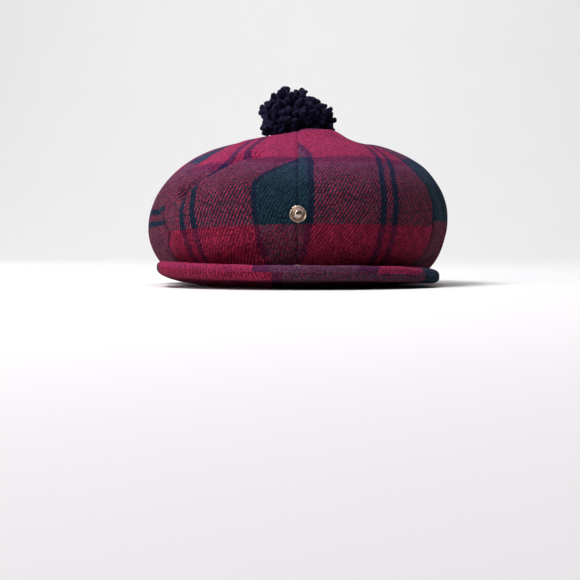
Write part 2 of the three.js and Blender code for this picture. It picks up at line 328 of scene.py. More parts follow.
@dataclass(frozen=True)
class TartanFinish:
    """Brushed wool twill in the tartan, with painted shade in its valleys and a painted sheen on its
    nap. Its UV map is in millimetres of cloth.
    """

    name: str
    warp: tuple[Bar, ...] = WARP
    weft: tuple[Bar, ...] = WEFT
    pitch: float = 2.35  # between the twill's lines
    steep: float = math.radians(60)  # of the twill's lines
    thread: float = 0.8  # pitch of the yarns
    floats: Pair = (0.38, 0.88)  # of the twill's height, where the warp shows
    even_mix: float = 0.48  # share of warp where the nap hides the twill
    dark_mix: Pair = (0.3, 0.2)  # more of a dark warp under the nap, and off it
    dark_yarn: Pair = (0.02, 0.06)  # brightness from darkest yarn to plain
    valley_shade: float = 0.68  # how dark the painted shade in the twill's valleys is
    # share of the ridge's height below which the valleys get painted shade
    valley_shade_height: float = 0.6
    valley_shade_left: float = 0.2  # of that painted shade, kept under the nap
    nap_sheen_heights: Pair = (70.0, 98.0)  # heights on the cap between which the nap and its painted sheen grow
    # least and most of the nap with its painted sheen
    nap_sheen_least: float = 0.06
    nap_sheen_most: float = 0.8
    # violet of the nap and of its painted sheen
    nap_sheen_colour: Colour = linear(122, 88, 172)
    nap_sheen_share: float = 0.5  # of that colour in the nap and its painted sheen, the rest being the yarn's own
    nap_sheen_gain: Colour = (2.1, 2.1, 2.1)  # how much brighter the nap and its painted sheen are than the yarn
    nap_sheen_haze: float = 0.16  # of the nap's colour, nap and painted sheen, over all that the nap covers
    flecks: Pair = (0.12, 0.55)  # of nap in tufts, and more where the nap grows
    fleck_edge: Pair = (0.54, 0.72)
    stray: Pair = (2.2, 1.6)  # of the bars' edges, by wander and by jitter
    nap_stray: float = 1.3  # more of it under the nap
    wobble: Triple = (0.5, 0.5, 0.3)  # of the twill, by drift, wander, jitter
    broken: Pair = (0.25, 1.35)  # least strength of the twill, and more where whole
    relief: tuple[float, ...] = (0.55, 0.12, 0.6, 0.5, 0.2)  # of ridges, yarns, fibre, fuzz, slubs
    relief_depth: float = 0.7 * MM
    patches: Grain = Grain(0.06, 3.0)
    patch_rise: float = 26.0
    drift_grain: Grain = Grain(0.07, 1.0)
    wander_grain: Grain = Grain(0.42)
    jitter_grain: Grain = Grain(1.1)
    break_grain: Grain = Grain(0.6, 3.0, 0.65)
    slub_grain: Grain = Grain(1.0, 3.0, 0.6)
    fibre_grain: Grain = Grain(0.55, 5.0, 0.8)
    cloud_grain: Grain = Grain(0.13, 5.0, 0.7)
    fuzz_grain: Grain = Grain(0.85, 4.0, 0.75)

    def build(self) -> Material:
        """Builds the material.

        Returns:
            The material.
        """
        look = Look(self.name)
        cloth = look.coordinates(CLOTH_UV)
        across, along, _ = look.split(cloth)
        grains = (self.drift_grain, self.wander_grain, self.jitter_grain)
        drift, wander, jitter = (look.speckle(cloth, grain) - 0.5 for grain in grains)
        # Nap that hides the twill, with a painted sheen that lightens the upper crown.
        nap_and_sheen = self._nap_and_sheen(look, cloth)
        clear = 1 - nap_and_sheen
        fray = (wander * self.stray[0] + jitter * self.stray[1]) * (nap_and_sheen * self.nap_stray + 1)
        warp = self._bars(look, self.warp, across + fray)
        weft = self._bars(look, self.weft, along + fray)
        aside, up = math.sin(self.steep) / self.pitch, math.cos(self.steep) / self.pitch
        lines = across * aside - along * up
        lines = lines + drift * self.wobble[0] + wander * self.wobble[1] + jitter * self.wobble[2]
        whole = look.speckle(cloth, self.break_grain).between(0.3, 0.66)
        ridge = lines.wave() * (self.broken[0] + self.broken[1] * whole)
        warp_up = ridge.between(*self.floats)
        dark = 1 - look.node("ShaderNodeRGBToBW", inputs={0: warp}).between(*self.dark_yarn)
        napped, bare = self.dark_mix
        share = warp_up * clear + (self.even_mix + napped * dark) * nap_and_sheen
        woven = look.mix(share + bare * dark * clear * (1 - warp_up), weft, warp)
        # The nap's colour: the yarn made brighter and more violet, its lighter fibres and a painted
        # sheen together.
        own = look.mix(1.0, woven, self.nap_sheen_gain, "MULTIPLY")
        sheened_nap = look.mix(self.nap_sheen_share, own, self.nap_sheen_colour)
        slub = look.speckle(look.stretch(cloth, (0.9, 0.25, 1)), self.slub_grain)
        slub_across = look.speckle(look.stretch(cloth, (0.25, 0.9, 1)), self.slub_grain)
        fibre = look.speckle(cloth, self.fibre_grain).between(0.34, 0.66)
        clouds = look.speckle(cloth, self.cloud_grain).between(0.32, 0.68)
        # Painted shade in the twill's valleys, weaker under the nap, then random tone of slubs,
        # fibres and clouds.
        valley_shade_kept = self.valley_shade_left + (1 - self.valley_shade_left) * clear
        shade = 1 - self.valley_shade * valley_shade_kept * (1 - ridge.between(0.0, self.valley_shade_height))
        shade = shade * (0.5 * (slub + slub_across) + 1.7 * fibre - 0.3) * (0.74 + 0.5 * clouds)
        colour = look.mix(1.0, woven, self._grey(look, shade), "MULTIPLY")
        fuzz = look.speckle(cloth, self.fuzz_grain)
        # Light flecks of nap, and a veil of the nap's painted sheen wherever the nap grows.
        tufts = fuzz.between(*self.fleck_edge) * (self.flecks[0] + self.flecks[1] * nap_and_sheen)
        colour = look.mix(tufts + nap_and_sheen * self.nap_sheen_haze, colour, sheened_nap)
        warp_yarns, weft_yarns = ((place / self.thread).wave() for place in (across, along))
        yarns = warp_yarns * warp_up + weft_yarns * (1 - warp_up)
        parts = (ridge * clear, yarns * clear, fibre, fuzz, slub)
        height = sum(part * weight for part, weight in zip(parts, self.relief))
        return look.finish(
            {
                "Base Color": colour,
                "Roughness": 0.95,
                "Specular IOR Level": 0.05,
                "Sheen Weight": 0.03,
                "Sheen Roughness": 0.5,
                "Sheen Tint": (0.75, 0.45, 1.0),
                "Normal": look.bump(height, self.relief_depth, 0.9),
            }
        )

    @staticmethod
    def _bars(look: Look, bars: Sequence[Bar], place: Wire) -> Wire:
        """Colours a row of bars that repeats.

        Args:
            look: The material under construction.
            bars: The bars in order.
            place: How far across the row, in millimetres.

        Returns:
            The yarn's colour there.
        """
        repeat = sum(bar.width for bar in bars)
        stops = []
        start = 0.0
        for bar in bars:
            stops.append((start / repeat, bar.yarn.value))
            start += bar.width
        turn = (place / repeat).math("FRACT")
        return look.node("ShaderNodeValToRGB", {"stops": stops}, {0: turn})

    @staticmethod
    def _grey(look: Look, value: Wire) -> Wire:
        """A grey of that value."""
        return look.node("ShaderNodeCombineColor", inputs={0: value, 1: value, 2: value})

    def _nap_and_sheen(self, look: Look, cloth: Wire) -> Wire:
        """Lets the nap grow up the crown in soft patches, with a painted sheen that lightens the
        top.

        Args:
            look: The material under construction.
            cloth: Places on the flat cloth, in millimetres.

        Returns:
            How far the nap hides the twill and its painted sheen lightens the cloth, 0 to 1.
        """
        height = look.split(look.coordinates())[2] / MM
        patches = look.speckle(cloth, self.patches) * self.patch_rise - self.patch_rise / 2
        return (height + patches).between(*self.nap_sheen_heights) * self.nap_sheen_most + self.nap_sheen_least


@dataclass(frozen=True)
class BandFinish:
    """Dark cotton twill of the band."""

    name: str
    colour: Colour = linear(38, 26, 40)
    lines_round: float = 75.0
    lines_up: float = 620.0
    slub: Grain = Grain(900.0, 3.0)

    def build(self) -> Material:
        """Builds the material.

        Returns:
            The material.
        """
        look = Look(self.name)
        place = look.coordinates()
        x, y, z = look.split(place)
        ridge = (y.math("ARCTAN2", x) * self.lines_round + z * self.lines_up).wave()
        slub = look.speckle(place, self.slub)
        shade = 0.6 + 0.4 * ridge * slub
        colour = look.mix(shade, tuple(part * 0.4 for part in self.colour), self.colour)
        normal = look.bump(ridge * 0.6 + slub * 0.4, 0.25 * MM, 0.8)
        return look.finish({"Base Color": colour, "Roughness": 0.85, "Normal": normal})


@dataclass(frozen=True)
class MetalFinish:
    """Warm nickel plate, tarnished in cloudy patches."""

    name: str
    bright: Colour = linear(206, 186, 170)
    tarnish: Colour = linear(104, 72, 46)
    cloud: Grain = Grain(420.0, 4.0, 0.65)
    scratch: Grain = Grain(2600.0)

    def build(self) -> Material:
        """Builds the material.

        Returns:
            The material.
        """
        look = Look(self.name)
        place = look.coordinates()
        cloud = look.speckle(place, self.cloud)
        scratches = look.speckle(look.stretch(place, (1, 1, 0.15)), self.scratch)
        dull = cloud.between(0.52, 0.72)
        colour = look.mix(dull * 0.55, self.bright, self.tarnish)
        rough = 0.16 + dull * 0.3 + scratches * 0.1
        normal = look.bump(cloud * 0.6 + scratches * 0.4, 0.03 * MM, 0.5)
        return look.finish(
            {"Base Color": colour, "Metallic": 1.0, "Roughness": rough, "Normal": normal}
        )


@dataclass(frozen=True)
class YarnFinish:
    """Loose twisted wool yarn."""

    name: str
    colour: Colour = linear(19, 13, 56)
    dark: Colour = linear(4, 3, 12)
    fibre: Grain = Grain(1900.0, 4.0, 0.7)
    cloud: Grain = Grain(160.0)

    def build(self) -> Material:
        """Builds the material.

        Returns:
            The material.
        """
        look = Look(self.name)
        place = look.coordinates()
        fibre = look.speckle(place, self.fibre)
        cloud = look.speckle(place, self.cloud)
        share = fibre.between(0.35, 0.7) * 0.7 + cloud * 0.3
        colour = look.mix(share, self.dark, self.colour)
        normal = look.bump(fibre, 0.35 * MM, 1.0)
        return look.finish(
            {
                "Base Color": colour,
                "Roughness": 0.9,
                "Specular IOR Level": 0.15,
                "Sheen Weight": 0.06,
                "Sheen Tint": (0.6, 0.55, 1.0),
                "Normal": normal,
            }
        )


@dataclass(frozen=True)
class PlainFinish:
    """Matt paper of the floor and backdrop."""

    name: str
    colour: Colour = linear(236, 236, 236)

    def build(self) -> Material:
        """Builds the material.

        Returns:
            The material.
        """
        look = Look(self.name)
        grain = look.speckle(look.coordinates(), Grain(6.0))
        colour = look.mix(grain, tuple(part * 0.98 for part in self.colour), self.colour)
        return look.finish({"Base Color": colour, "Roughness": 0.9})


# ---- making and dressing meshes


def new_piece(
    name: str,
    mesh: Mesh,
    material: Material,
    replaces: Sequence[str] = (),
) -> Piece:
    """Turns a bmesh into a named piece that rides on the cap.

    Args:
        name: The piece's name.
        mesh: Its mesh in metres, which is used up.
        material: Its finish.
        replaces: The CAD nodes that it stands for.

    Returns:
        The new object.
    """
    data = bpy.data.meshes.new(name)
    mesh.to_mesh(data)
    mesh.free()
    data.materials.append(material)
    data.shade_smooth()
    piece = bpy.data.objects.new(name, data)
    bpy.context.scene.collection.objects.link(piece)
    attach(piece, BODY)
    if replaces:
        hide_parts(*replaces)
    LOG.info("%s: %d faces", name, len(data.polygons))
    return piece


def wall(piece: Piece, thickness: float) -> None:
    """Gives a surface its thickness, inwards.

    Args:
        piece: The piece.
        thickness: The thickness, in millimetres.
    """
    solidify = piece.modifiers.new("cloth", "SOLIDIFY")
    solidify.thickness = thickness * MM
    solidify.offset = -1


def mapped_grid(columns: int, rows: int, points: Rows, cloth: Optional[Rows] = None) -> Mesh:
    """A grid whose points are moved to where they belong on the piece.

    Args:
        columns: Faces across.
        rows: Faces along.
        points: Array (rows + 1, columns + 1, 3) of places in millimetres.
        cloth: Array (rows + 1, columns + 1, 2) of places on the flat cloth, in millimetres.

    Returns:
        The mesh, in metres.
    """
    mesh = bmesh.new()
    bmesh.ops.create_grid(mesh, x_segments=columns, y_segments=rows, size=0.5)
    mesh.verts.ensure_lookup_table()
    flat = [(round((v.co.y + 0.5) * rows), round((v.co.x + 0.5) * columns)) for v in mesh.verts]
    for vertex, (row, column) in zip(mesh.verts, flat):
        vertex.co = Vector(points[row, column]) * MM
    if cloth is not None:
        layer = mesh.loops.layers.uv.new(CLOTH_UV)
        for face in mesh.faces:
            for loop in face.loops:
                row, column = flat[loop.vert.index]
                loop[layer].uv = cloth[row, column]
    mesh.normal_update()
    return mesh


def face_away(mesh: Mesh, middle: Vector) -> None:
    """Turns a sheet's faces away from a place, where they point at it.

    Args:
        mesh: The sheet.
        middle: The place, in millimetres.
    """
    place = middle * MM
    turns = (f.normal.dot(f.calc_center_median() - place) * f.calc_area() for f in mesh.faces)
    if sum(turns) < 0:
        bmesh.ops.reverse_faces(mesh, faces=mesh.faces)


def smooth_step(value: Rows, low: float, high: float) -> Rows:
    """Eased share of the way from low to high, held to 0 to 1."""
    share = np.clip((value - low) / (high - low), 0.0, 1.0)
    return share * share * (3 - 2 * share)


def arc_lengths(points: Rows, axis: int, start: int) -> Rows:
    """Distance along a grid's lines from one of its rows or columns.

    Args:
        points: Array of places.
        axis: 0 along the rows' direction, 1 across.
        start: Index at which the distance is 0.

    Returns:
        Array of signed distances.
    """
    steps = np.linalg.norm(np.diff(points, axis=axis), axis=-1)
    pad = [(0, 0), (0, 0)]
    pad[axis] = (1, 0)
    total = np.cumsum(np.pad(steps, pad), axis=axis)
    return total - np.take(total, [start], axis=axis)


def cloth_noise(points: Rows, size: float, seed: float) -> Rows:
    """Makes the soft lumps of cloth.

    Args:
        points: Array of places in millimetres.
        size: How far across a lump is, in millimetres.
        seed: Which lumps, as a shift of the noise.

    Returns:
        Array of heights, -1 to 1.
    """
    flat = points.reshape(-1, 3) / size + seed
    values = [noise.noise(Vector(place)) for place in flat]
    return np.array(values).reshape(points.shape[:-1])


# ---- headband


@dataclass
class Headband:
    """The folded strip round the head, standing on the surface. Sizes in millimetres."""

    half_width: float = 81.0
    half_length: float = 101.0
    wall: float = 2.5
    height: float = 24.0
    gap: float = 0.7
    set_forward: float = 1.0
    around: int = 240
    fold_steps: int = 6
    middle: float = field(init=False)

    def __post_init__(self) -> None:
        """Reads where the band's middle lies from front to back."""
        low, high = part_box("headband")
        self.middle = (low[1] + high[1]) / 2 / MM

    def outline(self, azimuth: Rows, more: float) -> Rows:
        """Points of the band's outer oval, moved out.

        Args:
            azimuth: Directions from the middle, in radians.
            more: How far out of the oval, in millimetres.

        Returns:
            Array of places at height 0, the last axis being x, y and z.
        """
        across, along = np.sin(azimuth), -np.cos(azimuth)
        wide, long = self.half_width + more, self.half_length + more
        radius = 1 / np.hypot(across / wide, along / long)
        return np.stack([across * radius, along * radius + self.middle, 0 * radius], -1)

    def _section(self) -> list[Pair]:
        """Draws the strip's section: a wall with two round folds.

        Returns:
            Its points as (depth inside the oval, height), in millimetres.
        """
        half = self.wall / 2
        section = []
        for top, turn in ((True, 0.0), (False, math.pi)):
            for step in range(self.fold_steps + 1):
                angle = turn + math.pi * step / self.fold_steps
                centre = self.height - half if top else half
                section.append((half - half * math.cos(angle), centre + half * math.sin(angle)))
        return [*section, section[0]]

    def build(self) -> Piece:
        """Builds and dresses the band.

        Returns:
            The piece.
        """
        section = self._section()
        azimuth = np.linspace(0, math.tau, self.around + 1)
        points = np.zeros((len(section), self.around + 1, 3))
        for row, (depth, height) in enumerate(section):
            points[row] = self.outline(azimuth, -depth)
            points[row, :, 2] = height
        mesh = mapped_grid(self.around, len(section) - 1, points)
        bmesh.ops.remove_doubles(mesh, verts=mesh.verts, dist=0.01 * MM)
        bmesh.ops.recalc_face_normals(mesh, faces=mesh.faces)
        finish = BandFinish("band_cloth").build()
        return new_piece("band", mesh, finish, ["headband"])


# ---- crown


@dataclass(frozen=True)
class Section:
    """The crown's outline in one direction, as the CAD model has it."""

    azimuth: float
    reach: float
    waist: float
    above: float
    below: float


@dataclass(frozen=True)
class Fold:
    """A dent or swell that runs between two places given as azimuth and share of the way down."""

    start: Pair
    end: Pair
    width: float
    rise: float


@dataclass(frozen=True)
class Panel:
    """How one panel was cut from the cloth and how its grain runs.

    across and along move the tartan, in millimetres. lean is how far the warp leans for each
    millimetre up, and bend how far aside it is drawn in the turn over the crown's edge.
    """

    node: str
    across: float
    along: float
    lean: float
    bend: float


SECTIONS = (
    Section(0, 121, 54, 2.25, 2.7),
    Section(45, 121, 53, 2.2, 2.3),
    Section(90, 118, 52, 2.17, 1.85),
    Section(135, 130, 46, 2.1, 2.0),
    Section(180, 142, 41, 2.05, 2.1),
    Section(225, 130, 42, 2.05, 2.0),
    Section(270, 118, 43, 2.14, 1.7),
    Section(315, 121, 50, 2.0, 2.3),
)
FOLDS = (
    Fold((12, 0.1), (31, 0.112), 14, 6.6),
    Fold((56, 0.12), (82, 0.1), 11, -5),
    Fold((-48, 0.14), (-22, 0.12), 17, 2.2),
    Fold((-50, 0.4), (-21, 0.26), 6.5, -7.4),
    Fold((-42, 0.4), (-21, 0.305), 5, 2.4),
    Fold((-46, 0.5), (-20, 0.37), 13, 2.6),
    Fold((-71, 0.46), (-57, 0.6), 7, -5),
    Fold((-30, 0.82), (-12, 0.7), 6, -2.6),
    Fold((66, 0.2), (80, 0.3), 14, 1.2),
    Fold((72, 0.42), (80, 0.62), 9, -2.2),
    Fold((128, 0.3), (152, 0.46), 12, -4.5),
    Fold((-126, 0.36), (-160, 0.3), 12, -4),
    Fold((172, 0.6), (196, 0.72), 9, -3),
)
PANELS = (
    Panel("panel_front_left", 103, 7, -0.12, 7),
    Panel("panel_side_left", 61, 3, 0.05, 0),
    Panel("panel_back_left", 70, 8, -0.03, 0),
    Panel("panel_back_right", 120, 2, 0.03, 0),
    Panel("panel_side_right", -14, -60, -0.05, 10),
    Panel("panel_front_right", -34, 7, 0.14, 33),
)


@dataclass
class Crown:
    """The six panels of the crown as walls of cloth. Sizes in millimetres, angles in radians."""

    band: Headband
    apex: float = 118.0
    dip_depth: float = 8.0
    dip_radius: float = 20.0
    button_back: float = 8.0
    tip_share: float = 0.008
    puff: float = 2.2
    puff_grows: Pair = (0.02, 0.3)
    puff_fades: Pair = (0.62, 0.95)
    hem_is_flat: Pair = (0.86, 0.99)
    hem_height: float = 1.0
    hem_over_peak: float = 13.0
    hem_leaves_peak: float = math.radians(74.5)
    hem_is_down: float = math.radians(87)
    cloth: float = 1.9
    groove: float = 1.1
    groove_width: float = 1.5
    pucker: float = 0.28
    pucker_reach: float = 7.0
    pucker_pitches: Pair = (1.9, 9.0)
    lumps: tuple[Triple, ...] = ((0.7, 34.0, 3.1), (0.245, 13.0, 8.7))
    columns: int = 64
    rows_above: int = 92
    rows_below: int = 46
    crowding: float = 0.55  # how far the columns crowd towards the seams
    half_gap: float = 0.01
    flap: Pair = (3.0, 1.3)
    turn_over: Pair = (20.0, 62.0)
    middle: float = field(init=False)

    def __post_init__(self) -> None:
        """Reads how far the crown's axis lies behind the frame's origin."""
        self.middle = self.band.middle + self.band.set_forward

    def _outline(self, column: str, azimuth: Rows) -> Rows:
        """Reads a column of the sections, smooth all the way round.

        Args:
            column: The column's name.
            azimuth: Directions from the middle, in radians.

        Returns:
            The column's value in each direction.
        """
        table = np.array([getattr(section, column) for section in SECTIONS])
        place = (azimuth / math.tau) % 1.0 * len(table)
        first = np.floor(place).astype(int)
        t = place - first
        a, b, c, d = (table[(first + k) % len(table)] for k in (-1, 0, 1, 2))
        rising = 2 * b + (c - a) * t + (2 * a - 5 * b + 4 * c - d) * t**2
        return 0.5 * (rising + (3 * b - a - 3 * c + d) * t**3)

    def _hem(self, azimuth: Rows) -> Rows:
        """Runs the hem over the peak in front, and near the surface elsewhere.

        Args:
            azimuth: Directions from the middle, in radians.

        Returns:
            Array of the hem's places, in millimetres.
        """
        turn = np.abs(np.arctan2(np.sin(azimuth), np.cos(azimuth)))
        beside = smooth_step(turn, self.hem_leaves_peak, self.hem_is_down)
        points = self.band.outline(azimuth, self.band.gap)
        points[..., 1] -= self.middle
        points[..., 2] = self.hem_over_peak + (self.hem_height - self.hem_over_peak) * beside
        return points

    def plain(self, azimuth: Rows, share: Rows) -> Rows:
        """The crown's outer surface before its folds.

        Args:
            azimuth: Directions from the crown's axis.
            share: Places on the way from the tips, at 0, by the waist, at 0.5, to the hem, at 1.

        Returns:
            Array of places.
        """
        angle = share * math.pi
        upper = share <= 0.5
        above, below = (self._outline(column, azimuth) for column in ("above", "below"))
        squareness = np.where(upper, above, below)
        out = np.clip(np.sin(angle), 0, 1) ** (2 / squareness)
        rise = np.abs(np.cos(angle)) ** (2 / squareness)
        reach, waist = self._outline("reach", azimuth), self._outline("waist", azimuth)
        widest_x, widest_y = np.sin(azimuth) * reach, -np.cos(azimuth) * reach
        axis = self.button_back * (1 + np.cos(angle)) / 2
        x, y = widest_x * out, widest_y * out + axis
        dip = self.dip_depth * np.exp(-((np.hypot(x, y - self.button_back) / self.dip_radius) ** 2))
        above = np.stack([x, y, waist + (self.apex - waist) * rise - dip], -1)
        hem = self._hem(azimuth)
        hem_x = widest_x * out + hem[..., 0] * (1 - out)
        hem_y = (widest_y + axis) * out + hem[..., 1] * (1 - out)
        below = np.stack([hem_x, hem_y, waist - (waist - hem[..., 2]) * rise], -1)
        points = np.where(upper[..., None], above, below)
        points[..., 1] += self.middle
        return points

    def normal(self, azimuth: Rows, share: Rows) -> Rows:
        """Finds the outward directions of the plain surface.

        Args:
            azimuth: Directions from the middle, in radians.
            share: Shares of the way from the tips to the hem.

        Returns:
            Array of unit vectors.
        """
        step = 1e-3
        along = self.plain(azimuth, np.minimum(share + step, 1))
        along = along - self.plain(azimuth, np.maximum(share - step, 0))
        across = self.plain(azimuth + step, share) - self.plain(azimuth - step, share)
        out = np.cross(along, across)
        return out / np.linalg.norm(out, axis=-1, keepdims=True)

    def _fold_rise(self, points: Rows) -> Rows:
        """Works out how far the folds lift the cloth.

        Args:
            points: Array of places in millimetres.

        Returns:
            The lift at each place, in millimetres.
        """
        rise = np.zeros(points.shape[:-1])
        for fold in FOLDS:
            azimuths = np.radians([fold.start[0], fold.end[0]])
            ends = self.plain(azimuths, np.array([fold.start[1], fold.end[1]]))
            run = ends[1] - ends[0]
            share = np.clip((points - ends[0]) @ run / (run @ run), 0, 1)
            distance = np.linalg.norm(points - ends[0] - share[..., None] * run, axis=-1)
            rise += fold.rise * np.exp(-((distance / fold.width) ** 2))
        return rise

    def surface(self, azimuth: Rows, share: Rows, inwards: Rows, seam: Rows, side: Rows) -> Rows:
        """The finished outer surface of the cloth.

        Args:
            azimuth: Directions from the crown's axis.
            share: Places on the way from the tips to the hem.
            inwards: How far under the surface each place lies.
            seam: Distance of each place from the nearer seam.
            side: Distance of each place along the seam.

        Returns:
            Array of places.
        """
        points = self.plain(azimuth, share)
        free = smooth_step(share, *self.puff_grows) * (1 - smooth_step(share, *self.puff_fades))
        rise = self._fold_rise(points)
        rise += self.puff * free * np.sin(len(PANELS) / 2 * azimuth) ** 2
        for height, size, seed in self.lumps:
            rise += height * cloth_noise(points, size, seed)
        rise -= self.groove * np.exp(-seam / self.groove_width)
        short, long = self.pucker_pitches
        waves = np.sin(side / short + 2 * np.sin(side / long))
        rise += self.pucker * np.exp(-seam / self.pucker_reach) * waves
        rise *= 1 - smooth_step(share, *self.hem_is_flat)
        return points + self.normal(azimuth, share) * (rise - inwards)[..., None]

    def _shares(self) -> Rows:
        """Spaces the grid's rows.

        Returns:
            Each row's share of the way from the tips to the hem.
        """
        above = np.linspace(self.tip_share, 0.5, self.rows_above + 1)
        below = np.linspace(0.5, 1.0, self.rows_below + 1)[1:]
        return np.concatenate([above, below])

    def panel(self, number: int, cut: Panel, material: Material) -> Piece:
        """Builds one panel between two seams, with its edges turned in.

        Args:
            number: Its place round the crown from the front seam.
            cut: How it was cut from the cloth.
            material: The crown's tartan.

        Returns:
            The piece.
        """
        width = math.tau / len(PANELS)
        even = np.linspace(0, 1, self.columns + 1)
        spread = (1 - self.crowding) * even + self.crowding * (0.5 - 0.5 * np.cos(math.pi * even))
        spread = np.concatenate([[0, 0], spread, [1, 1]])
        depth = np.zeros_like(spread)
        depth[:2] = self.flap
        depth[-2:] = self.flap[::-1]
        share, turn = np.meshgrid(self._shares(), spread * width, indexing="ij")
        azimuth = number * width + turn
        inwards = np.broadcast_to(depth, share.shape)
        flat = self.plain(azimuth, share)
        radius = np.hypot(flat[..., 0], flat[..., 1] - self.middle)
        seam = np.minimum(turn, width - turn) * radius
        half_gap = self.half_gap / np.maximum(radius, 1)
        azimuth = number * width + np.clip(turn, half_gap, width - half_gap)
        centre = (self.columns + 4) // 2
        across = arc_lengths(flat, 1, centre)
        along = -arc_lengths(flat, 0, self.rows_above)
        points = self.surface(azimuth, share, inwards, seam, along)
        bent = cut.bend * smooth_step(along, *self.turn_over)
        cloth = np.stack([across + cut.lean * along - bent + cut.across, along + cut.along], -1)
        mesh = mapped_grid(len(spread) - 1, share.shape[0] - 1, points, cloth)
        face_away(mesh, Vector((0, self.middle, 50)))
        name = cut.node.replace("panel", "gore")
        piece = new_piece(name, mesh, material, [cut.node])
        wall(piece, self.cloth)
        return piece

    def build(self) -> list[Piece]:
        """Builds and dresses the six panels.

        Returns:
            The pieces.
        """
        material = TartanFinish("crown_tartan").build()
        return [self.panel(number, cut, material) for number, cut in enumerate(PANELS)]


# ---- peak


class PeakFace(Enum):
    """The two halves of the peak, by which way from its middle surface they lie."""

    TOP = 1
    UNDER = -1


